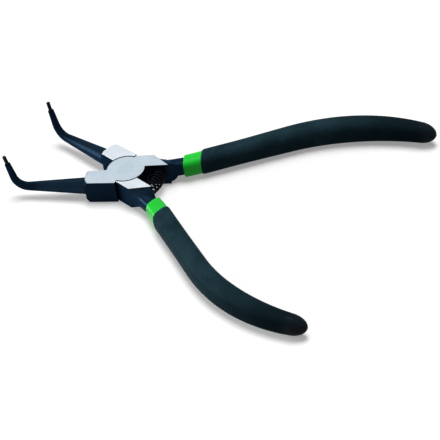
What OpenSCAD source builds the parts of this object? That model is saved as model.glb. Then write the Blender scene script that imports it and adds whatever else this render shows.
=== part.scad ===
// Circlip pliers for inside rings, with tips bent upwards.
// Two equal forged levers lap over each other on a flush rivet, and a coil spring holds them open.
// X runs from the tips (-) to the handles (+), Z is up, lengths are in millimetres and angles in degrees.
// The origin is on the pivot axis, at the ground underside of the joint.
// Each lever is drawn closed about the mid-plane, then turned open and lifted into place.

/* [Pose] */
// Angle between the levers when the spring holds them against the open stop
open_angle = 42; // [32:1:44]

/* [Joint] */
// Thickness of the joint between its two ground faces
joint_t = 10; // [9:0.5:13]
// Radius of the round lap where the levers cross
lap_r = 8; // [7.5:0.1:8.6]
// Running gap between the two lapped faces
lap_gap = 0.1; // [0.06:0.02:0.2]
// Running gap round the edge of the lap
lap_clearance = 0.25; // [0.1:0.05:0.3]
// Angle from the jaw side to the stop face on a jaw block
block_stop_angle = 69; // [66:0.5:71]
// Angle left between the stop faces in the open pose
stop_play = 0.6; // [0.4:0.1:1.5]
// Radius of the rivet's shank
rivet_r = 2.75; // [2:0.05:3.2]
// Radius of the rivet's flush heads
rivet_head_r = 3.7; // [3.4:0.1:5]
// Running clearance of the lower lever round the rivet
rivet_clearance = 0.05; // [0.03:0.01:0.1]

/* [Jaw blocks] */
// Gap between the two jaws when the pliers are closed
jaw_gap = 0.4; // [0.3:0.1:1]
// Length of a jaw block in front of the lap
block_l = 8.5; // [6:0.5:14]
// Width of a jaw block at its front
block_front_w = 8.3; // [7.8:0.1:9.5]
// Width of a jaw block at its stop face
block_back_w = 9; // [8.9:0.1:10]

/* [Jaws] */
// Radius of a round jaw where it leaves its block
jaw_base_r = 3.5; // [3:0.1:4]
// Radius of a round jaw at its bend
jaw_bend_r = 1.85; // [1.6:0.05:2.3]
// Length of the tapered jaw between its block and its bend
jaw_l = 24.4; // [18:0.1:40]
// Radius of the bend along its middle
bend_r = 6; // [4:0.25:8]
// Angle that the tips are bent up by
bend_angle = 78; // [45:1:90]
// Lean of the bent tips towards each other
tip_lean = 0.4; // [0:0.2:3.6]
// Length of the tapered nose after the bend
nose_l = 7; // [5:0.1:12]
// Radius of the nose at its shoulder
nose_end_r = 1.25; // [1.15:0.05:1.5]

/* [Tip pins] */
// Radius of a tip pin
tip_r = 0.8; // [0.5:0.05:0.9]
// Length that a tip pin stands out of its nose
tip_l = 4; // [3:0.1:7]
// Chamfer at the end of a tip pin
tip_chamfer = 0.25; // [0.1:0.05:0.35]
// Radius of the stub that is pressed into the nose
stub_r = 0.6; // [0.3:0.05:0.8]
// Length of the stub that is pressed into the nose
stub_l = 4; // [2:0.5:6]

/* [Handles] */
// Gap between the handle roots when the pliers are closed
handle_gap = 2; // [1:0.2:3]
// Distance from the closed plane to the outer edge of a handle root
root_w = 8.3; // [8.1:0.1:8.8]
// Length of the ground face along the outer edge of a root
root_outer_l = 10.9; // [9:0.1:12]
// Length of the ground face along the inner edge of a root
root_inner_l = 17.8; // [16.5:0.1:19]
// Length over which a root runs out into the round shank
root_run = 4.6; // [3.4:0.2:5.4]
// Where the straight part of a handle starts, along the pliers
handle_x = 27.55; // [25:0.05:32]
// Where the straight part of a handle starts, out from the closed plane
handle_y = 7.2; // [6.6:0.1:9]
// Angle of the straight part to the closed plane
handle_angle = 19.3; // [16:0.1:24]
// Length of the straight part
handle_straight = 40; // [25:1:50]
// Radius of the bow that brings the handle's end back inwards
handle_bow_r = 82; // [65:0.5:160]
// Length of a handle from the start of its straight part to the end of its grip
handle_l = 102.4; // [85:0.2:120]
// Width of the steel tang at the front of the grip
tang_w = 6.3; // [6:0.1:7.8]
// Height of the steel tang at the front of the grip
tang_h = 6.3; // [6:0.1:7.8]
// Width of the tang at the widest place of the grip
tang_belly_w = 5.9; // [5.6:0.1:7.8]
// Height of the tang at the widest place of the grip
tang_belly_h = 7; // [6.6:0.1:8.6]
// Width of the tang at its end
tang_end_w = 3.9; // [3.6:0.1:5.6]
// Height of the tang at its end
tang_end_h = 4.8; // [4.4:0.1:6.4]

/* [Grips] */
// Thickness of the green under-coat
liner_t = 0.85; // [0.5:0.05:1.2]
// Distance from the front of the green coat to the start of the straight part
liner_front = 5.7; // [4.5:0.1:7]
// Distance from the start of the straight part to the front of the black sleeve
sleeve_front = 3; // [1:0.2:8]
// Thickness of the black sleeve at its front
sleeve_front_t = 0.5; // [0.3:0.05:0.8]
// Thickness of the black sleeve from its widest place on
sleeve_t = 1; // [0.8:0.05:2]
// Thickness of the black sleeve over the end of the handle
sleeve_end_t = 1.6; // [1:0.05:2.5]
// Where along the straight part and bow the grip is widest
belly_at = 60; // [45:1:75]
// Length of the rounded end of the grip
end_l = 7.5; // [6:0.1:10]

/* [Spring] */
// Distance of the spring from the pivot axis
spring_at = 13; // [12.2:0.1:13]
// Outer radius of the coil
spring_r = 3; // [2.4:0.1:3.2]
// Radius of the spring wire
wire_r = 0.42; // [0.3:0.01:0.46]
// Turns of the coil
spring_turns = 11.5; // [7:0.5:12]
// Depth of the blind pocket for each end of the spring
pocket_depth = 4.6; // [4.4:0.1:5]
// Clearance of the coil in its pockets
pocket_clearance = 0.25; // [0.15:0.05:0.4]

/* [Hidden] */
$fn = 64;
// Overlap that lets cutters and joined bodies pass through each other's faces
cut = 1;
// Gap between two bonded layers, and between the spring's ends and their seats
bond = 0.02;
half_t = joint_t / 2;
half_open = open_angle / 2;
root_stop_angle = 180 - open_angle - stop_play - block_stop_angle;
rivet_head_h = rivet_head_r - rivet_r;

jaw_inner_y = -jaw_gap / 2;
block_front_x = -lap_r - block_l;
block_front_y = jaw_inner_y - block_front_w;
block_back_y = jaw_inner_y - block_back_w;
// The jaw's axis leans by its own taper, so the inner sides of closed jaws are parallel
jaw_taper = asin((jaw_base_r - jaw_bend_r) / jaw_l);
// Step between the jaw's root and the turned edge that takes the corners off its block
shoulder_step = 1.8;
// Radius where the nose starts: the jaw's taper goes on through the bend
nose_base_r = (jaw_bend_r + nose_end_r) / 2;
// Points in a round section of a jaw, and sections along its bend
jaw_n = 32;
bend_n = 8;

root_inner_y = handle_gap / 2;
root_outer = [root_outer_l, root_w];
root_inner = [root_inner_l, root_inner_y];
root_end_w = norm(root_outer - root_inner);
root_end_angle = atan2(root_outer.y - root_inner.y, root_outer.x - root_inner.x);

handle_start = [handle_x, handle_y];
heading = [cos(handle_angle), sin(handle_angle)];
inward = [sin(handle_angle), -cos(handle_angle)];
// Ledge that the ground root leaves round the start of the shank
root_lip = 0.3;
// How far the shank's first section stands inside the root, and the step from there back to its seat
shank_sink = [0.4, 0];
shank_seat = [2.2, 0.6];
shank_start = (root_outer + root_inner) / 2 - shank_sink;
shank_l = norm(handle_start - shank_start);
shank_knee = handle_start - heading * shank_l / 3;
// Share of the curved shank that the run-out takes
root_run_t = root_run / (2 * norm(shank_knee - shank_start));

// How square the sections are: a root is nearly a rectangle, a grip is a rounded square
root_power = 9;
grip_power = 3.2;
// Points in a section, and sections along the run-out, the neck, the grip and its rounded end
ring_n = 20;
shank_n = 6;
neck_n = 3;
body_n = 14;
end_n = 5;
// The last section of a rounded end, as an angle round its quarter circle
end_last = 83;
// Length over which the leaning sections at the coats' fronts turn square to the handle
dip_fade = 20;
// Length of the sleeve's bevelled lip, and the share of a coat's thickness left at its front edge
lip_l = 1.1;
lip_share = 0.35;
end_at = handle_l - end_l;
tang_nose = end_l - liner_t - sleeve_end_t;
body_stations = [for (i = [0 : body_n]) mix(sleeve_front, end_at, i / body_n)];
band_stations = [-liner_front, (sleeve_front - liner_front) / 2];

coil_r = spring_r - wire_r;
wire_n = 8;
steps_per_turn = 12;
// The coil's axis runs straight in each pocket and on an arc between the two pockets
pocket_mouth_y = spring_at * sin(half_open) + root_inner_y * cos(half_open);
pocket_mouth_x = spring_at * cos(half_open) - root_inner_y * sin(half_open);
spring_arc_r = pocket_mouth_y / sin(half_open);
spring_arc_x = pocket_mouth_x - spring_arc_r * cos(half_open);
spring_half_arc = spring_arc_r * half_open * PI / 180;
spring_half_l = spring_half_arc + pocket_depth - wire_r - bond;

function mix(a, b, t) = a + (b - a) * t;
function unit(t) = min(max(t, 0), 1);
function smooth(t) = let (c = unit(t)) c * c * (3 - 2 * c);
function reversed(list) = [for (i = [len(list) - 1 : -1 : 0]) list[i]];

// Middle line of a handle at distance s from its straight part: a curved shank, a straight run, then a bow.
function bow_turn(s) = max(s - handle_straight, 0) / handle_bow_r * 180 / PI;
function shank_t(s) = 1 + s / shank_l;
function shank_point(t) =
    shank_start * (1 - t) * (1 - t) + shank_knee * 2 * t * (1 - t) + handle_start * t * t;
function shank_heading(t) = (shank_knee - shank_start) * (1 - t) + (handle_start - shank_knee) * t;
function line_point(s) =
    s < 0 ? shank_point(shank_t(s))
          : handle_start + heading * min(s, handle_straight)
            + handle_bow_r * (heading * sin(bow_turn(s)) + inward * (1 - cos(bow_turn(s))));
function line_angle(s) =
    s < 0 ? let (d = shank_heading(shank_t(s))) atan2(d.y, d.x) : handle_angle - bow_turn(s);

// A closed ring of points: a rounded section of width w and height h, standing across a direction.
// Its outer edge is lower than its inner edge by drop.
function ring(centre, across, w, h, power, drop = 0) =
    [for (i = [0 : ring_n - 1])
        let (c = cos(360 * i / ring_n), s = sin(360 * i / ring_n),
             u = w / 2 * sign(c) * pow(abs(c), 2 / power),
             v = (h - drop * (u / w + 1 / 2)) / 2 * sign(s) * pow(abs(s), 2 / power))
        [centre.x + u * cos(across), centre.y + u * sin(across), v]];

// A solid through a list of rings, closed at the first and the last.
module loft(rings) {
    n = len(rings[0]);
    last = (len(rings) - 1) * n;
    sides = [for (k = [0 : len(rings) - 2], i = [0 : n - 1])
        let (j = (i + 1) % n)
        [k * n + i, (k + 1) * n + i, (k + 1) * n + j, k * n + j]];
    first_cap = [for (i = [0 : n - 1]) i];
    last_cap = [for (i = [n - 1 : -1 : 0]) last + i];
    polyhedron([for (r = rings, p = r) p], concat([first_cap], sides, [last_cap]));
}

// Sections of the tang, and of each coat at its distance from the tang.
function tail(s) = pow(unit((s - belly_at) / (end_at - belly_at)), 2);
function swell(s) = smooth((s - sleeve_front) / (belly_at - sleeve_front));
function tang_size(s) =
    mix(mix([tang_w, tang_h], [tang_belly_w, tang_belly_h], swell(s)), [tang_end_w, tang_end_h], tail(s));
// The coats were dipped upright, so sections at their fronts are square to the pliers and not to the handle.
function dip_lean(s) = line_angle(s) * (1 - smooth((s - sleeve_front) / dip_fade));
function coat_ring(s, coat) =
    ring(line_point(s), line_angle(s) + 90 - dip_lean(s), (tang_size(s).x + 2 * coat) / cos(dip_lean(s)),
         tang_size(s).y + 2 * coat, grip_power);
function coat_end(coat, reach) =
    [for (k = [1 : end_n])
        let (a = end_last * k / end_n, s = end_at + reach * sin(a))
        ring(line_point(s), line_angle(s) + 90, (tang_end_w + 2 * coat) * cos(a),
             (tang_end_h + 2 * coat) * cos(a), grip_power)];
function coat_rings(stations, coat, reach) =
    concat([for (s = stations) coat_ring(s, coat)], coat_end(coat, reach));

// The black sleeve starts with a bevelled lip and thickens towards its widest place.
function sleeve_coat(s) =
    liner_t + mix(sleeve_front_t, sleeve_t, swell(s));

// The shank runs out from the root's section to the tang's as blend goes from 0 to 1: its inner edge stays high
// at first and its outer edge falls at once. Its sections turn from the root's slanting end to square across
// the pliers as turn goes from 0 to 1.
function shank_height(fall) = mix(joint_t - 2 * root_lip, tang_h, fall);
function shank_ring(t, blend, turn) =
    let (d = shank_heading(t), across = mix(root_end_angle, 90, turn),
         inner_h = shank_height(pow(blend, 3)), outer_h = shank_height(1 - pow(1 - blend, 4)))
    ring(shank_point(t), across, mix(root_end_w - root_lip, tang_w / sin(across - atan2(d.y, d.x)), blend),
         inner_h, mix(root_power, grip_power, blend), inner_h - outer_h);

module place_upper() {
    translate([0, 0, half_t]) rotate([0, 0, half_open]) children();
}

module place_lower() {
    translate([0, 0, half_t]) rotate([0, 0, -half_open]) rotate([180, 0, 0]) children();
}

// The jaw's own frame: X forwards along its axis from the block's shoulder.
module at_jaw() {
    translate([block_front_x, jaw_inner_y - jaw_base_r, 0]) rotate([0, 0, 180 - jaw_taper]) children();
}

// The bend's frame, with the tips up or down in the lever's own frame.
module at_bend(tip_side) {
    at_jaw() mirror([0, 0, tip_side < 0 ? 1 : 0]) translate([jaw_l, 0, 0]) rotate([tip_lean, 0, 0]) children();
}

// The bend's middle line at angle b, in the bend's frame.
function bend_point(b) = bend_r * [sin(b), 0, 1 - cos(b)];

// The nose's frame: Z along the nose from the end of the bend.
module at_nose(tip_side) {
    at_bend(tip_side) translate(bend_point(bend_angle)) rotate([0, 90 - bend_angle, 0]) children();
}

module jaw_block() {
    shoulder_r = jaw_base_r + shoulder_step;
    shoulder_l = block_l + lap_r + cut;
    stop_x = block_back_y / tan(block_stop_angle);
    intersection() {
        translate([0, 0, -half_t]) linear_extrude(joint_t)
            polygon([[0, 0], [stop_x, block_back_y], [block_front_x, block_front_y],
                     [block_front_x, jaw_inner_y], [-lap_r / 2, jaw_inner_y]]);
        at_jaw() translate([-shoulder_l, 0, 0]) rotate([0, 90, 0])
            cylinder(h = shoulder_l, r1 = shoulder_r + shoulder_l, r2 = shoulder_r);
    }
}

// A round section that stands across the bend's middle line at angle b, in the bend's frame.
function round_ring(centre, b, r) =
    [for (i = [0 : jaw_n - 1])
        let (a = 360 * i / jaw_n)
        centre + r * [-sin(b) * sin(a), cos(a), cos(b) * sin(a)]];

// A jaw is one bar: a taper that starts inside the block, the bend and the tapered nose.
module jaw(tip_side) {
    base = round_ring([-jaw_l - cut, 0, 0], 0, jaw_base_r + cut * tan(jaw_taper));
    bend = [for (i = [0 : bend_n])
        let (b = bend_angle * i / bend_n)
        round_ring(bend_point(b), b, mix(jaw_bend_r, nose_base_r, i / bend_n))];
    nose_end = bend_point(bend_angle) + nose_l * [cos(bend_angle), 0, sin(bend_angle)];
    at_bend(tip_side) loft(concat([base], bend, [round_ring(nose_end, bend_angle, nose_end_r)]));
}

module lap() {
    translate([0, 0, lap_gap / 2]) cylinder(h = half_t - lap_gap / 2, r = lap_r);
}

module handle_root() {
    translate([0, 0, -half_t]) linear_extrude(joint_t)
        polygon([[0, 0], [root_w / tan(root_stop_angle), root_w], root_outer, root_inner,
                 [lap_r / 2, root_inner_y]]);
}

module handle_bar() {
    inside = ring(shank_start - shank_seat, root_end_angle, tang_w, tang_h, grip_power);
    run_out = [for (i = [0 : shank_n]) shank_ring(root_run_t * i / shank_n, i / shank_n, 0)];
    neck = [for (i = [1 : neck_n]) let (u = i / (neck_n + 1))
        shank_ring(mix(root_run_t, shank_t(-liner_front), u), 1, smooth(u))];
    loft(concat([inside], run_out, neck, coat_rings(concat(band_stations, body_stations), 0, tang_nose)));
}

module lap_recess() {
    translate([0, 0, -half_t - cut]) cylinder(h = half_t + cut + lap_gap / 2, r = lap_r + lap_clearance);
}

// The rivet's outline turned round its axis, grown by a clearance on all sides that face a lever.
module rivet_body(clearance) {
    shank_r = rivet_r + clearance;
    head_r = rivet_head_r + clearance;
    rotate_extrude()
        polygon([[0, -half_t], [head_r, -half_t], [shank_r, rivet_head_h - half_t],
                 [shank_r, half_t - rivet_head_h], [head_r, half_t], [0, half_t]]);
}

module spring_pocket() {
    translate([spring_at, root_inner_y - cut, 0]) rotate([-90, 0, 0])
        cylinder(h = pocket_depth + cut, r = spring_r + pocket_clearance);
}

module tip_socket(tip_side) {
    at_nose(tip_side) translate([0, 0, nose_l - stub_l]) cylinder(h = stub_l + cut, r = stub_r);
}

module lever(tip_side, clearance) {
    color("#1d2536") difference() {
        union() {
            jaw_block();
            jaw(tip_side);
            lap();
            handle_root();
            handle_bar();
        }
        lap_recess();
        rivet_body(clearance);
        spring_pocket();
        tip_socket(tip_side);
    }
}

module tip_pin(tip_side) {
    color("#2a3140") at_nose(tip_side) translate([0, 0, nose_l]) rotate_extrude()
        polygon([[0, -stub_l], [stub_r, -stub_l], [stub_r, 0], [tip_r, 0], [tip_r, tip_l - tip_chamfer],
                 [tip_r - tip_chamfer, tip_l], [0, tip_l]]);
}

// The green under-coat is a closed sock over the whole tang, rounded at its front edge.
module grip_liner() {
    stations = concat(band_stations, body_stations);
    inner = coat_rings(stations, bond, tang_nose + bond);
    front = [coat_ring(-liner_front, liner_t * lip_share), coat_ring(-liner_front + liner_t / 2, liner_t)];
    outer = coat_rings([for (i = [1 : len(stations) - 1]) stations[i]], liner_t, tang_nose + liner_t);
    color("#17b53c") loft(concat(reversed(inner), front, outer));
}

// The black sleeve covers the green coat except for the band at its front.
module grip_sleeve() {
    inner = coat_rings(body_stations, liner_t + bond, tang_nose + liner_t + bond);
    front = [coat_ring(sleeve_front, liner_t + sleeve_front_t * lip_share),
             coat_ring(sleeve_front + lip_l, sleeve_coat(sleeve_front + lip_l))];
    outer = [for (i = [1 : body_n]) coat_ring(body_stations[i], sleeve_coat(body_stations[i]))];
    color("#263038") loft(concat(reversed(inner), front, outer, coat_end(liner_t + sleeve_t, end_l)));
}

// A point of the coil's axis at distance q from the middle plane, and the angle of its outward direction.
function spring_turn(q) = max(min(q, spring_half_arc), -spring_half_arc) / spring_arc_r * 180 / PI;
function spring_axis(q) =
    let (a = spring_turn(q), past = q - spring_arc_r * a * PI / 180)
    [spring_arc_x + spring_arc_r * cos(a) - past * sin(a), spring_arc_r * sin(a) + past * cos(a), 0];
function spring_ring(i, n) =
    let (q = mix(-spring_half_l, spring_half_l, i / n),
         a = spring_turn(q),
         turn = 360 * spring_turns * i / n,
         out = [cos(a) * cos(turn), sin(a) * cos(turn), sin(turn)],
         along = [-sin(a), cos(a), 0])
    [for (k = [0 : wire_n - 1])
        let (b = 360 * k / wire_n)
        spring_axis(q) + out * (coil_r + wire_r * cos(b)) + along * wire_r * sin(b)];

module opening_spring() {
    n = ceil(spring_turns * steps_per_turn);
    color("#15181d") translate([0, 0, half_t]) loft([for (i = [0 : n]) spring_ring(i, n)]);
}

module pivot_rivet() {
    color("#c3ccd6") translate([0, 0, half_t]) rivet_body(0);
}

module upper_lever() {
    place_upper() lever(1, 0);
}

module lower_lever() {
    place_lower() lever(-1, rivet_clearance);
}

module upper_tip_pin() {
    place_upper() tip_pin(1);
}

module lower_tip_pin() {
    place_lower() tip_pin(-1);
}

module upper_grip_liner() {
    place_upper() grip_liner();
}

module lower_grip_liner() {
    place_lower() grip_liner();
}

module upper_grip_sleeve() {
    place_upper() grip_sleeve();
}

module lower_grip_sleeve() {
    place_lower() grip_sleeve();
}

upper_lever();
lower_lever();
pivot_rivet();
opening_spring();
upper_tip_pin();
lower_tip_pin();
upper_grip_liner();
lower_grip_liner();
upper_grip_sleeve();
lower_grip_sleeve();
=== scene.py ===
# %% [markdown]
# # Circlip pliers with bent tips
# A pair of sprung pliers that squeezes an inside circlip so that it can be lifted out of its bore. Two
# equal forged levers lap over each other on a flush rivet. The steel is blackened, then both sides of the
# joint are ground bright. Each handle is dipped twice, first in green vinyl and then in black. The solids
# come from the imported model, in metres, with the pivot axis on Z and the tips towards -X. This lesson
# gives them their camera, light, finishes and the finer shapes that a close look needs.

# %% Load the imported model
import math

import bmesh
import bpy
import numpy as np
from mathutils import Matrix, Vector


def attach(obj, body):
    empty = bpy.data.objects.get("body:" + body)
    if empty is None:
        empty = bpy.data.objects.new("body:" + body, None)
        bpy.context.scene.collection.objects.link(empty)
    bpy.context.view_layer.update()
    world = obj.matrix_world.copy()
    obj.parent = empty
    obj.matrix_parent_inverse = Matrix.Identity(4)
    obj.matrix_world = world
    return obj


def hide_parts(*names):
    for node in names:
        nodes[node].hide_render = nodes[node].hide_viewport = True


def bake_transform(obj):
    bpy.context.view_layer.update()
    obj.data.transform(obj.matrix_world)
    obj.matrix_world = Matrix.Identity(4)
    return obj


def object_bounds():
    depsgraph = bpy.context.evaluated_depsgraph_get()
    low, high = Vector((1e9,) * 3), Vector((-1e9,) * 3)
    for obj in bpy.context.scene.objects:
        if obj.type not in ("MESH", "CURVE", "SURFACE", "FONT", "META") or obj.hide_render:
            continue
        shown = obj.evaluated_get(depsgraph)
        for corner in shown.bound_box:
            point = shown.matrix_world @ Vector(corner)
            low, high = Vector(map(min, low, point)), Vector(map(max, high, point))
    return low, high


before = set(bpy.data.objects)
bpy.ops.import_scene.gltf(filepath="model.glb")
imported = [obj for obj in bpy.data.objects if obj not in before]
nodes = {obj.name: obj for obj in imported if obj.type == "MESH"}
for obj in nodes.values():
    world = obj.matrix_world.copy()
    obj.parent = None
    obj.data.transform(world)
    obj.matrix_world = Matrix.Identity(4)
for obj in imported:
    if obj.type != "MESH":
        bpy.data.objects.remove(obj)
cad_low, cad_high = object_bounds()
mm = 0.001
print("nodes:", sorted(nodes))
print("size in mm:", [round(v / mm, 1) for v in cad_high - cad_low])

# %% [markdown]
# ## Writing nodes as sums
# Finishes and node-made shapes are small calculations. Placing each node by hand takes many lines, so one
# class wraps a socket: Python's own operators on it add Math nodes, and every other kind of node comes
# from one method. The same class serves shader trees and geometry trees, because both take the Math node.


# %% A socket that can be added and multiplied
class Wire:
    def __init__(self, tree, socket):
        self.tree = tree
        self.socket = socket

    @staticmethod
    def node(tree, kind, settings=None, sockets=None, out=0):
        """Adds a node, sets its settings first and its sockets after, and returns one of its outputs."""
        made = tree.nodes.new(kind)
        for name, value in (settings or {}).items():
            setattr(made, name, value)
        for name, value in (sockets or {}).items():
            if isinstance(value, Wire):
                tree.links.new(value.socket, made.inputs[name])
            else:
                made.inputs[name].default_value = value
        return Wire(tree, made.outputs[out])

    def maths(self, operation, *others, first=None):
        """A Math node on this socket, or on another first value, and the other values."""
        values = [self if first is None else first, *others]
        return Wire.node(self.tree, "ShaderNodeMath", {"operation": operation}, dict(enumerate(values)))

    def __add__(self, other):
        return self.maths("ADD", other)

    __radd__ = __add__

    def __mul__(self, other):
        return self.maths("MULTIPLY", other)

    __rmul__ = __mul__

    def __sub__(self, other):
        return self.maths("SUBTRACT", other)

    def __rsub__(self, other):
        return self.maths("SUBTRACT", self, first=other)

    def __truediv__(self, other):
        return self.maths("DIVIDE", other)

    def __rtruediv__(self, other):
        return self.maths("DIVIDE", self, first=other)

    def __pow__(self, other):
        return self.maths("POWER", other)

    def __abs__(self):
        return self.maths("ABSOLUTE")

    def part(self, name):
        """Another output of the same node."""
        return Wire(self.tree, self.socket.node.outputs[name])

    def rises(self, start, end):
        """0 below start, 1 above end and a smooth step between them."""
        return Wire.node(self.tree, "ShaderNodeMapRange", {"interpolation_type": "SMOOTHSTEP"},
                         {"Value": self, "From Min": start, "From Max": end})


print("socket class ready")

# %% [markdown]
# ## The camera
# The view is a long-lens view from beside the handles, a little less than half way from level to straight
# down, and the picture is rolled. The angles and the distance were found by fitting the lap's circle, the
# tips and the handles' middle lines, so the camera is set from those numbers and not by eye.

# %% Camera at the photograph's angle
picture = 440
pixels_per_mm = 2.44
pivot_pixel = (127.52, 178.0)
joint_t = 10 * mm
joint_middle = Vector((0, 0, joint_t / 2))
view_turn = math.radians(-32.99)
view_height = math.radians(38.63)
view_roll = math.radians(10.28)
stand_off = 1300

level = Matrix(((1, 0, 0),
                (0, math.sin(view_height), math.cos(view_height)),
                (0, math.cos(view_height), -math.sin(view_height))))
axes = Matrix.Rotation(view_roll, 3, "Z") @ level @ Matrix.Rotation(view_turn, 3, "Z")
pivot_seen = Vector(((pivot_pixel[0] - picture / 2) / pixels_per_mm,
                     (picture / 2 - pivot_pixel[1]) / pixels_per_mm, stand_off)) * mm
eye = joint_middle - axes.transposed() @ pivot_seen
right, up, ahead = axes

lens = bpy.data.cameras.new("camera")
lens.sensor_width = 36
lens.lens = lens.sensor_width * pixels_per_mm * stand_off / picture
camera = bpy.data.objects.new("camera", lens)
bpy.context.scene.collection.objects.link(camera)
camera.matrix_world = Matrix.Translation(eye) @ Matrix((right, up, -ahead)).transposed().to_4x4()
bpy.context.scene.camera = camera
print("camera at", [round(v, 3) for v in eye], "lens", round(lens.lens, 1))

# %% [markdown]
# ## Floor and light
# The pliers lie on a white sweep. A wide main lamp hangs nearly straight above them, so their shadows are
# soft and lie close round them. Metal doesn't mirror that lamp, or the flat ground faces would go white
# from above. A small lamp from behind gives the round jaws their highlight, and a low one lights the
# sides that face the tips' end. Lamps near the pliers would light the floor unevenly, so all three are
# sun lamps with wide discs. A white floor would throw much light back up under the handles, so it is
# white only for the camera and for mirrors, and a middle grey for the light that it throws back.

# %% Floor, lamps and surroundings
floor_mesh = bpy.data.meshes.new("floor")
floor_half = 4.0
floor_z = cad_low.z
corners = [(-1, -1), (1, -1), (1, 1), (-1, 1)]
floor_mesh.from_pydata([(x * floor_half, y * floor_half, floor_z) for x, y in corners], [], [(0, 1, 2, 3)])
floor = bpy.data.objects.new("floor", floor_mesh)
bpy.context.scene.collection.objects.link(floor)


def seen_directly(tree):
    """1 for rays from the camera, from a mirror or through glass, else 0."""
    path = Wire.node(tree, "ShaderNodeLightPath", out="Is Camera Ray")
    mirrored = path.maths("MAXIMUM", path.part("Is Glossy Ray"))
    return mirrored.maths("MAXIMUM", path.part("Is Transmission Ray"))


def new_material(name):
    made = bpy.data.materials.new(name)
    made.use_nodes = True
    return made, made.node_tree, made.node_tree.nodes["Principled BSDF"]


floor_grey = 0.8
floor_bounce = 0.4
floor_lift = 0.28
floor_paint, tree, shader = new_material("white_floor")
shown = seen_directly(tree)
tree.links.new((shown * (floor_grey - floor_bounce) + floor_bounce).socket, shader.inputs["Base Color"])
shader.inputs["Roughness"].default_value = 1.0
shader.inputs["Specular IOR Level"].default_value = 0.0
lift = Wire.node(tree, "ShaderNodeEmission", None, {"Strength": shown * floor_lift})
both = Wire.node(tree, "ShaderNodeAddShader", None, {0: lift, 1: Wire(tree, shader.outputs[0])})
tree.links.new(both.socket, tree.nodes["Material Output"].inputs["Surface"])
floor_mesh.materials.append(floor_paint)


def add_lamp(name, comes_from, energy, width, mirrored):
    """A far lamp with a wide disc, so that its shadows are equally soft everywhere."""
    sun = bpy.data.lights.new(name, "SUN")
    sun.energy = energy
    sun.angle = math.radians(width)
    made = bpy.data.objects.new(name, sun)
    bpy.context.scene.collection.objects.link(made)
    made.rotation_euler = Vector(comes_from).to_track_quat("Z", "Y").to_euler()
    made.visible_glossy = mirrored


add_lamp("main_lamp", comes_from=(0.03, 0.2, 1.0), energy=2.3, width=34, mirrored=False)
add_lamp("top_lamp", comes_from=(-0.27, 0.42, 0.87), energy=0.4, width=20, mirrored=True)
add_lamp("side_lamp", comes_from=(-0.95, -0.2, 0.18), energy=2.6, width=26, mirrored=True)

room = bpy.data.worlds.new("room")
room.use_nodes = True
bpy.context.scene.world = room
tree = room.node_tree
fill_level = 0.08
backdrop = tree.nodes["Background"]
backdrop.inputs["Color"].default_value = (1, 1, 1, 1)
tree.links.new((seen_directly(tree) * (1 - fill_level) + fill_level).socket, backdrop.inputs["Strength"])
bpy.context.scene.view_settings.view_transform = "Standard"
print("floor at", round(floor_z / mm, 2), "mm, lamps:", [light.name for light in bpy.data.lights])

# %% [markdown]
# ## Steel of the levers
# The forgings are blued to a satin blue-black. The oxide shines like a dark metal and stays blue at a
# grazing angle. It is painted a little lighter on the tapered jaws and on the outer flanks of the roots,
# a painted sheen that stands in for the light those surfaces catch.
# Then both sides of the joint are ground flat, which leaves bright steel there with fine straight
# scratches. It could be two materials on separate faces, but the bright area is simply where the stone
# reached: the highest and lowest parts of the joint, up to the slanting end of each handle root. One
# finish with masks on Object coordinates says just that. The broken edges lie lower, so they stay dark,
# and so does the line round the lap. Each lever was ground by itself, so the scratches run along its own
# length. The two levers are given ground steel of different brightness; that difference is painted
# reflection, for the light that one lever's brushed faces throw back more than the other's.


# %% Helpers for finishes
def position(tree):
    return Wire.node(tree, "ShaderNodeTexCoord", out="Object")


def split(wire):
    x = Wire.node(wire.tree, "ShaderNodeSeparateXYZ", None, {0: wire}, "X")
    return x, x.part("Y"), x.part("Z")


def join(tree, x, y, z):
    return Wire.node(tree, "ShaderNodeCombineXYZ", None, {"X": x, "Y": y, "Z": z})


def noise(vector, scale, detail=2.0, roughness=0.5):
    return Wire.node(vector.tree, "ShaderNodeTexNoise", None,
                     {"Vector": vector, "Scale": scale, "Detail": detail, "Roughness": roughness}, "Fac")


def blend_colours(factor, low, high):
    sockets = {"Factor": factor, 6: low, 7: high}
    return Wire.node(factor.tree, "ShaderNodeMix", {"data_type": "RGBA"}, sockets, 2)


def bump(height, strength, distance):
    return Wire.node(height.tree, "ShaderNodeBump", None,
                     {"Height": height, "Strength": strength, "Distance": distance})


def feed(shader, **sockets):
    """Links wires to the shader's sockets, or sets plain values on them."""
    for name, value in sockets.items():
        socket = shader.inputs[name.replace("_", " ")]
        if isinstance(value, Wire):
            value.tree.links.new(value.socket, socket)
        else:
            socket.default_value = value


print("helpers ready")

# %% Ground and blackened steel
stone_reach = 0.04 * mm
block_front = -16.5 * mm
jaw_bend = -40.9 * mm
sheen_fade = 8 * mm
flank_start = 2 * mm
flank_end = 6 * mm
half_open = math.radians(21)
root_outer = Vector((10.9, 8.3)) * mm
root_inner = Vector((17.8, 1.0)) * mm
run_out_edge = 0.03 * mm

# Spots to the metre in the scratches, the oxide's clouds and its grain
scratches_along = 60
scratches_across = 5200
oxide_clouds = 160
oxide_grains = 2600
scratch_depth = 0.01 * mm

oxide_dark = (0.0015, 0.005, 0.0115, 1)
# Painted sheen: lighter oxide for the jaws and the root flanks, standing in for the light they catch
oxide_painted_sheen = (0.0085, 0.0195, 0.035, 1)
scratch_shade = 0.86
# Tint of the gloss at a grazing angle
oxide_rim = (0.5, 0.58, 0.7, 1)


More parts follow.
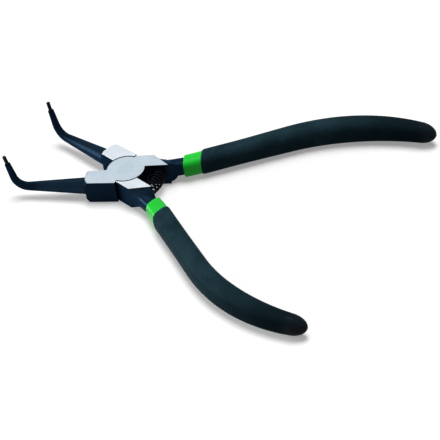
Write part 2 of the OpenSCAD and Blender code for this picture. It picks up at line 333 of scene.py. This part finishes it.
def lever_steel(name, side, bright):
    """Blue-black steel, ground bright on the joint; side is 1 for the upper lever, -1 for the lower."""
    made, tree, shader = new_material(name)
    place = position(tree)
    x, y, z = split(place)
    c, s = math.cos(half_open), side * math.sin(half_open)
    along = x * c + y * s
    across = y * (c * side) - x * (s * side)
    end = root_inner - root_outer
    past_root = (along - root_outer.x) * -end.y + (across - root_outer.y) * end.x
    edge = end.length * run_out_edge
    depth = joint_t / 2 - abs(z - joint_t / 2)
    on_jaw = 1 - along.rises(block_front - mm, block_front)
    # The jaws and the outer root flanks get a painted sheen: lighter oxide in place of the light they catch
    sheen_on_jaw = on_jaw * along.rises(jaw_bend, jaw_bend + sheen_fade)
    on_flank = across.rises(flank_start, flank_end)
    sheen_on_root = on_flank * along.rises(root_outer.x - sheen_fade, root_outer.x)
    painted_sheen = sheen_on_jaw + sheen_on_root
    stone = 1 - depth.rises(stone_reach / 2, stone_reach)
    ground = stone * (1 - on_jaw) * (1 - past_root.rises(-edge, edge))
    drawn_out = join(tree, along * scratches_along, across * scratches_across, z * scratches_along)
    scratch = noise(drawn_out, 1.0, 3.0)
    cloud = noise(place, oxide_clouds, 4.0)
    grain = noise(place, oxide_grains, 2.0)
    scratched = [level * scratch_shade for level in bright]
    steel = blend_colours(scratch * 0.6 + cloud * 0.4, [*scratched, 1], [*bright, 1])
    oxide = blend_colours(cloud * 0.4 + painted_sheen * 0.6, oxide_dark, oxide_painted_sheen)
    feed(shader,
         Base_Color=blend_colours(ground, oxide, steel),
         Metallic=1.0,
         Roughness=0.36 + cloud * 0.1 - ground * (0.2 - scratch * 0.1),
         Normal=bump(scratch * ground + grain * (1 - ground), 0.12, scratch_depth),
         Specular_Tint=oxide_rim)
    return made


# Painted reflection: the lower lever's ground steel is lighter, for the light its brushed faces throw back
upper_steel = lever_steel("upper_lever_steel", 1, (0.53, 0.62, 0.69))
lower_steel = lever_steel("lower_lever_steel", -1, (0.70, 0.76, 0.81))
print("lever steels:", upper_steel.name, lower_steel.name)

# %% [markdown]
# ## The two levers
# The solids have dead sharp edges, but the outlines of the ground faces are broken a little on the real
# pliers. The levers could be drawn again by hand, but their solids are already right, so each is copied:
# its loose triangles are merged, flat areas become single faces, and a narrow bevel breaks those outlines
# alone. A bevel on every edge would spoil the thin places where the roots run out. Edges that turn by
# more than a crease stay sharp in the shading, so the ground faces look flat.

# %% Levers with broken edges
forging_edge = 0.22 * mm
weld = 0.002 * mm
flat_angle = math.radians(0.6)
crease_angle = math.radians(28)
rivet_seat = 5 * mm


def add_piece(name, mesh):
    made = bpy.data.objects.new(name, mesh)
    bpy.context.scene.collection.objects.link(made)
    return made


def freeze(piece):
    """Turns the piece's modifiers into plain mesh and takes them off."""
    bpy.context.view_layer.update()
    seen = piece.evaluated_get(bpy.context.evaluated_depsgraph_get())
    mesh = bpy.data.meshes.new_from_object(seen)
    piece.modifiers.clear()
    piece.data = mesh
    mesh.name = piece.name
    return piece


def settle(piece, node, body, slot):
    """Says which solid the piece stands for and what it moves with; slot is not used."""
    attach(piece, body)
    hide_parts(node)
    print(piece.name, "faces:", len(piece.data.polygons))


def on_ground_plane(vertex):
    """True for points on either side of the joint, outside the rivet's seat."""
    depth = joint_t / 2 - abs(vertex.co.z - joint_t / 2)
    return abs(depth) < weld and vertex.co.xy.length > rivet_seat


def is_ground(face):
    return abs(face.normal.z) > math.cos(flat_angle) and any(on_ground_plane(v) for v in face.verts)


def forged(node, body, finish):
    """A merged copy of a lever's solid, with the outlines of its ground faces broken."""
    shape = bmesh.new()
    shape.from_mesh(nodes[node].data)
    bmesh.ops.remove_doubles(shape, verts=shape.verts, dist=weld)
    bmesh.ops.dissolve_limit(shape, angle_limit=flat_angle, verts=shape.verts, edges=shape.edges)
    outline = [edge for edge in shape.edges
               if edge.calc_face_angle(0) > crease_angle and all(on_ground_plane(v) for v in edge.verts)]
    bmesh.ops.bevel(shape, geom=outline, offset=forging_edge, offset_type="OFFSET", segments=1,
                    profile=0.5, affect="EDGES", clamp_overlap=True)
    for face in shape.faces:
        face.smooth = True
    for edge in shape.edges:
        bounds_ground = len({is_ground(face) for face in edge.link_faces}) == 2
        edge.smooth = edge.calc_face_angle(0) < crease_angle and not bounds_ground
    mesh = bpy.data.meshes.new(node + "_forging")
    shape.to_mesh(mesh)
    shape.free()
    mesh.materials.clear()
    mesh.materials.append(finish)
    piece = add_piece(node + "_forging", mesh)
    settle(piece, node, body, "blackened_steel")


forged("upper_lever", "upper_half", upper_steel)
forged("lower_lever", "lower_half", lower_steel)

# %% [markdown]
# ## The handle's middle line
# Everything on a handle follows one line: a short curved shank, a straight run and a bow that brings the
# end back in. The coats could be copied from the solids, but those have few sides. Here the same named
# sizes give the line and the section at any place, so the coats can be as fine as the picture needs. A
# section is squarer on the green band, which follows the tang, and rounder under the thick black coat.
# Lengths are in millimetres until the end.

# %% Middle line and sections of a handle
handle_start = Vector((27.55, 7.2))
handle_angle = math.radians(19.3)
handle_straight = 40
handle_bow_r = 82
handle_l = 102.4
end_l = 7.5
end_at = handle_l - end_l
end_last = math.radians(83)
belly_at = 60
tang_front = Vector((6.3, 6.3))
tang_belly = Vector((5.9, 7.0))
tang_end = Vector((3.9, 4.8))
dip_fade = 20
band_squareness = 3.2
grip_squareness = 2.7
sleeve_front = 3
liner_front = -5.7
shank_overlap = 0.4

heading = Vector((math.cos(handle_angle), math.sin(handle_angle)))
inward = Vector((math.sin(handle_angle), -math.cos(handle_angle)))
shank_start = (root_outer + root_inner) / 2 / mm - Vector((shank_overlap, 0))
shank_l = (handle_start - shank_start).length
shank_knee = handle_start - heading * shank_l / 3


def smooth(t):
    t = min(max(t, 0), 1)
    return t * t * (3 - 2 * t)


def line_at(at):
    """Point of the middle line and its angle, at a distance from the start of the straight run."""
    if at < 0:
        t = 1 + at / shank_l
        ahead = (shank_knee - shank_start) * (1 - t) + (handle_start - shank_knee) * t
        point = shank_start * (1 - t) ** 2 + shank_knee * 2 * t * (1 - t) + handle_start * t * t
        return point, math.atan2(ahead.y, ahead.x)
    turn = max(at - handle_straight, 0) / handle_bow_r
    bow = heading * math.sin(turn) + inward * (1 - math.cos(turn))
    return handle_start + heading * min(at, handle_straight) + bow * handle_bow_r, handle_angle - turn


def swell(at):
    """0 at the sleeve's front and 1 from the belly of the handle on."""
    return smooth((at - sleeve_front) / (belly_at - sleeve_front))


def tang_size(at):
    tail = min(max((at - belly_at) / (end_at - belly_at), 0), 1) ** 2
    return tang_front.lerp(tang_belly, swell(at)).lerp(tang_end, tail)


def section(at, coat, shrink=1.0):
    """Centre, half sizes, direction and squareness of a section, a coat's thickness over the tang."""
    point, angle = line_at(at)
    fade = smooth((at - sleeve_front) / dip_fade)
    lean = angle * (1 - fade)
    size = (tang_size(min(at, end_at)) / 2 + Vector((coat, coat))) * shrink
    squareness = band_squareness + (grip_squareness - band_squareness) * fade
    return point, size.x / math.cos(lean), size.y, angle + math.pi / 2 - lean, squareness


def wall(front, coat, steps=70):
    """Sections from a coat's front to the start of the rounded end; coat gives the thickness anywhere."""
    return [section(at, coat(at)) for at in np.linspace(front, end_at, steps)]


def rounded_end(coat, reach, steps=12):
    """Sections that shrink on an arc to a point, reach beyond the last section of the wall."""
    turns = np.linspace(0, end_last, steps)[1:]
    rings = [section(end_at + reach * math.sin(a), coat, math.cos(a)) for a in turns]
    return rings + [section(end_at + reach * math.sin(end_last), coat, 0.0)]


handle_end, _ = line_at(handle_l)
print("handle of", round(handle_l + shank_l, 1), "mm ends at", [round(v, 1) for v in handle_end])

# %% [markdown]
# ## A skin on sections
# A coat is a sock: a wall inside, a rounded lip at the front, a wall outside and a closed end. All four
# coats follow that rule, so one node tree makes them. It takes a chain of points, one for each section,
# with the half sizes and the direction kept on the points, lays a grid of one row for each section and
# bends each row round into a rounded section. Sweeping a profile along a curve would be shorter, but it
# can't change width and height separately.


# %% Node tree for a skin on sections
def node_group(name, *inputs):
    """An empty geometry tree with named inputs after its geometry, and the wire of that geometry."""
    tree = bpy.data.node_groups.new(name, "GeometryNodeTree")
    tree.interface.new_socket("Geometry", in_out="OUTPUT", socket_type="NodeSocketGeometry")
    tree.interface.new_socket("Geometry", in_out="INPUT", socket_type="NodeSocketGeometry")
    for title, kind in inputs:
        tree.interface.new_socket(title, in_out="INPUT", socket_type="NodeSocket" + kind)
    return tree, Wire.node(tree, "NodeGroupInput", out="Geometry")


def close_group(given, shape):
    """Makes the shape smooth and real, gives it the group's material and leads it out."""
    tree = given.tree
    shape = Wire.node(tree, "GeometryNodeSetShadeSmooth", None, {0: shape})
    shape = Wire.node(tree, "GeometryNodeRealizeInstances", None, {0: shape})
    painted = {"Geometry": shape, "Material": given.part("Material")}
    shape = Wire.node(tree, "GeometryNodeSetMaterial", None, painted)
    tree.links.new(shape.socket, tree.nodes.new("NodeGroupOutput").inputs[0])
    return tree


def grow(name, points, tree, values, attributes=None):
    """Makes a chain of points, lets a tree grow a shape on it from named values, and freezes it."""
    mesh = bpy.data.meshes.new(name)
    mesh.from_pydata(points, [(i, i + 1) for i in range(len(points) - 1)], [])
    for title, kept in (attributes or {}).items():
        kind, field = ("FLOAT", "value") if np.ndim(kept) == 1 else ("FLOAT_VECTOR", "vector")
        mesh.attributes.new(title, kind, "POINT").data.foreach_set(field, np.ravel(kept))
    piece = add_piece(name, mesh)
    grower = piece.modifiers.new(tree.name, "NODES")
    grower.node_group = tree
    for socket in tree.interface.items_tree:
        if socket.in_out == "INPUT" and socket.name in values:
            grower[socket.identifier] = values[socket.name]
    return freeze(piece)


def skin_tree():
    tree, given = node_group("skin_on_sections", ("Points Around", "Int"), ("Material", "Material"))
    around = given.part("Points Around")
    rows = Wire.node(tree, "GeometryNodeAttributeDomainSize", {"component": "MESH"},
                     {0: given}, "Point Count")
    grid = Wire.node(tree, "GeometryNodeMeshGrid", None, {"Vertices X": rows, "Vertices Y": around + 1})
    index = Wire.node(tree, "GeometryNodeInputIndex")
    row = (index / (around + 1)).maths("FLOOR")
    turn = (index - row * (around + 1)) / around * math.tau

    def on_section(value, kind):
        return Wire.node(tree, "GeometryNodeSampleIndex", {"data_type": kind},
                         {"Geometry": given, "Value": value, "Index": row})

    def kept(title, kind):
        stored = Wire.node(tree, "GeometryNodeInputNamedAttribute", {"data_type": kind}, {"Name": title})
        return on_section(stored, kind)

    def rounded(wave):
        return wave.maths("SIGN") * abs(wave) ** (2 / kept("squareness", "FLOAT"))

    width, height, across = split(kept("half_sizes", "FLOAT_VECTOR"))
    centre = on_section(Wire.node(tree, "GeometryNodeInputPosition"), "FLOAT_VECTOR")
    out = width * rounded(turn.maths("COSINE"))
    rise = height * rounded(turn.maths("SINE"))
    offset = join(tree, out * across.maths("COSINE"), out * across.maths("SINE"), rise)
    placed = Wire.node(tree, "GeometryNodeSetPosition", None,
                       {"Geometry": grid, "Position": centre, "Offset": offset})
    closed = Wire.node(tree, "GeometryNodeMergeByDistance", None,
                       {"Geometry": placed, "Distance": weld / 4})
    return close_group(given, Wire.node(tree, "GeometryNodeFlipFaces", None, {0: closed}))


skin_on_sections = skin_tree()
print("skin tree nodes:", len(skin_on_sections.nodes))

# %% [markdown]
# ## Vinyl coats
# The handles were dipped upright, first in green and then in black, and each bath left a soft rounded lip
# at its level. Green vinyl is clean and glossy. The black one is satin with a faint mottle; towards the
# handles' ends its colour turns darker and its grain smoother, and the last drop dried with a gloss.
# How far a spot is from the pivot says where that begins, so both handles share one material.


# %% Green and black vinyl
end_darkening_start = 74 * mm
drop_start = 119 * mm
drop_end = 125 * mm
vinyl_clouds = 90
vinyl_pimples = 900
pimple_height = 0.05 * mm


def vinyl(name, low, high, end_colour, roughness, specular, pimples):
    """Dipped vinyl, mottled between two colours, turning to a third colour towards the handle's end."""
    made, tree, shader = new_material(name)
    place = position(tree)
    x, y, _ = split(place)
    reach = (x * x + y * y) ** 0.5
    # The colour turns darker towards the handle's end
    end_darkening = reach.rises(end_darkening_start, drop_end)
    cloud = noise(place, vinyl_clouds, 3.0)
    grain = noise(place, vinyl_pimples, 3.0, 0.6)
    # Noise seldom leaves its middle range, so that range is stretched
    mottle = (cloud.rises(0.3, 0.7) + grain.rises(0.1, 0.9)) / 2
    skin = blend_colours(mottle, low, high)
    feed(shader,
         Base_Color=blend_colours(end_darkening, skin, end_colour),
         Roughness=roughness - 0.06 + cloud * 0.12,
         Normal=bump(grain * (1 - end_darkening), pimples, pimple_height),
         Specular_IOR_Level=specular,
         Coat_Weight=reach.rises(drop_start, drop_end) * 0.6,
         Coat_Roughness=0.12,
         Coat_IOR=1.15)
    return made


green_vinyl = vinyl("green_coat", low=(0.008, 0.52, 0.030, 1), high=(0.011, 0.62, 0.042, 1),
                    end_colour=(0.009, 0.5, 0.03, 1), roughness=0.26, specular=0.12, pimples=0.05)
black_vinyl = vinyl("black_coat", low=(0.0065, 0.018, 0.026, 1), high=(0.019, 0.045, 0.058, 1),
                    end_colour=(0.004, 0.010, 0.014, 1), roughness=0.45, specular=0.004, pimples=0.6)
print("vinyls:", green_vinyl.name, black_vinyl.name)

# %% [markdown]
# ## Grips
# Each coat starts at the closed end of its inside wall, comes forwards to the lip, turns round it and
# runs back on the outside. The lower handle is the upper one mirrored in the closed plane.

# %% Green liners and black sleeves
bond = 0.02
skin = 0.06
liner_t = 0.85
sleeve_front_t = 0.5
sleeve_t = 1.0
lip_l = 1.1
tang_nose = 5.05
points_around = 64
handles = {"upper": ("upper_half", 1), "lower": ("lower_half", -1)}


def sleeve_coat(at):
    return liner_t - skin + sleeve_front_t + (sleeve_t - sleeve_front_t) * swell(at)


def sock(front, inside, nose, lip_length, outside, end_reach, lip_steps=9):
    """Sections of a coat from the closed end inside it, round its front lip to the closed end outside."""
    back = front + lip_length
    rise = outside(back) - inside
    inner = wall(front, lambda at: inside) + rounded_end(inside, nose)
    turns = np.linspace(0, math.pi / 2, lip_steps)[1:-1]
    edge = [section(back - lip_length * math.cos(a), inside + rise * math.sin(a)) for a in turns]
    outer = wall(back, outside) + rounded_end(outside(end_at), end_reach)
    return inner[::-1] + edge + outer


def coat(name, side, body, rings, paint, node, slot):
    """Opens a closed handle's sections to one side and grows the coat on them."""
    c, s = math.cos(half_open), side * math.sin(half_open)
    points, sizes, squareness = [], [], []
    for point, width, height, across, square in rings:
        x, y = point.x, point.y * side
        opened = Vector((x * c - y * s, x * s + y * c, 0)) * mm
        points.append((opened + joint_middle)[:])
        sizes.append((width * mm, height * mm, side * (across + half_open)))
        squareness.append(square)
    piece = grow(name, points, skin_on_sections, {"Points Around": points_around, "Material": paint},
                 {"half_sizes": sizes, "squareness": squareness})
    settle(piece, node, body, slot)


liner_rings = sock(liner_front, bond, tang_nose + bond, liner_t / 2,
                   lambda at: liner_t, tang_nose + liner_t)
sleeve_rings = sock(sleeve_front, liner_t + bond, tang_nose + liner_t + bond, lip_l,
                    sleeve_coat, end_l)
for half, (body, side) in handles.items():
    coat(half + "_liner_skin", side, body, liner_rings, green_vinyl, half + "_grip_liner", "green_vinyl")
    coat(half + "_sleeve_skin", side, body, sleeve_rings, black_vinyl, half + "_grip_sleeve", "black_vinyl")

# %% [markdown]
# ## Opening spring
# A coil of round wire on an axis that runs straight in each pocket and on an arc between them. It could
# be bent from turned rings, but a coil is one rule along a path: a tree resamples the axis, moves each
# point out by the coil's radius at a steadily growing angle and sweeps the wire along the result.


# %% Node tree for a coil on an axis
wire_sides = 12


def coil_tree():
    tree, given = node_group("coil_on_axis", ("Turns", "Float"), ("Points A Turn", "Float"),
                             ("Coil Radius", "Float"), ("Wire Radius", "Float"), ("Material", "Material"))
    turns = given.part("Turns")
    radius = given.part("Coil Radius")
    axis = Wire.node(tree, "GeometryNodeMeshToCurve", None, {0: given})
    count = turns * given.part("Points A Turn")
    axis = Wire.node(tree, "GeometryNodeResampleCurve", None, {0: axis, "Count": count})
    turn = Wire.node(tree, "GeometryNodeSplineParameter", out="Factor") * turns * math.tau
    x, y, _ = split(Wire.node(tree, "GeometryNodeInputTangent"))
    out = radius * turn.maths("COSINE")
    offset = join(tree, y * out, x * out * -1, radius * turn.maths("SINE"))
    coil = Wire.node(tree, "GeometryNodeSetPosition", None, {"Geometry": axis, "Offset": offset})
    wire = Wire.node(tree, "GeometryNodeCurvePrimitiveCircle", None,
                     {"Resolution": wire_sides, "Radius": given.part("Wire Radius")})
    return close_group(given, Wire.node(tree, "GeometryNodeCurveToMesh", None,
                                        {"Curve": coil, "Profile Curve": wire, "Fill Caps": True}))


coil_on_axis = coil_tree()
print("coil tree nodes:", len(coil_on_axis.nodes))

# %% Coil between its pockets
spring_at = 13
spring_r = 3
spring_turns = 11.5
points_a_turn = 36.0
axis_points = 61
wire_r = 0.42
pocket_depth = 4.6
handle_gap = 2
mouth = Matrix.Rotation(half_open, 2) @ Vector((spring_at, handle_gap / 2))
arc_r = mouth.y / math.sin(half_open)
arc_x = mouth.x - arc_r * math.cos(half_open)
half_length = arc_r * half_open + pocket_depth - wire_r - bond


def axis_at(q):
    """Point of the coil's axis at a distance from the middle plane."""
    turn = max(min(q / arc_r, half_open), -half_open)
    past = q - arc_r * turn
    c, s = math.cos(turn), math.sin(turn)
    flat = Vector((arc_x + arc_r * c - past * s, arc_r * s + past * c, 0))
    return (flat * mm + joint_middle)[:]


wire_clouds = 400


def dark_steel(name, low, high, roughness, metallic, specular):
    """Blackened wire or pin, clouded between two colours."""
    made, tree, shader = new_material(name)
    cloud = noise(position(tree), wire_clouds, 3.0)
    feed(shader,
         Base_Color=blend_colours(cloud, low, high),
         Roughness=roughness - 0.05 + cloud * 0.1,
         Metallic=metallic,
         Specular_IOR_Level=specular)
    return made


spring_steel = dark_steel("spring_wire", low=(0.0012, 0.002, 0.005, 1), high=(0.003, 0.005, 0.011, 1),
                          roughness=0.3, metallic=0.0, specular=0.05)
spring_axis = [axis_at(q) for q in np.linspace(-half_length, half_length, axis_points)]
spring_sizes = {"Turns": spring_turns, "Points A Turn": points_a_turn, "Material": spring_steel,
                "Coil Radius": (spring_r - wire_r) * mm, "Wire Radius": wire_r * mm}
spring = grow("opening_spring_coil", spring_axis, coil_on_axis, spring_sizes)
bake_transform(spring)
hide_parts("opening_spring")
print("spring faces:", len(spring.data.polygons))

# %% [markdown]
# ## Tip pins and rivet
# These are plain turned solids and already as fine as they need to be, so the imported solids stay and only
# get finishes.

# %% Finishes on the turned solids
tip_steel = dark_steel("pin_steel", low=(0.004, 0.006, 0.011, 1), high=(0.008, 0.012, 0.020, 1),
                       roughness=0.35, metallic=0.2, specular=0.06)
ground_steel = lever_steel("rivet_steel", 1, (0.51, 0.60, 0.67))
turned = {"upper_tip_pin": tip_steel, "lower_tip_pin": tip_steel, "pivot_rivet": ground_steel}
for node, paint in turned.items():
    nodes[node].data.materials.clear()
    nodes[node].data.materials.append(paint)
    print(node, "has", paint.name)
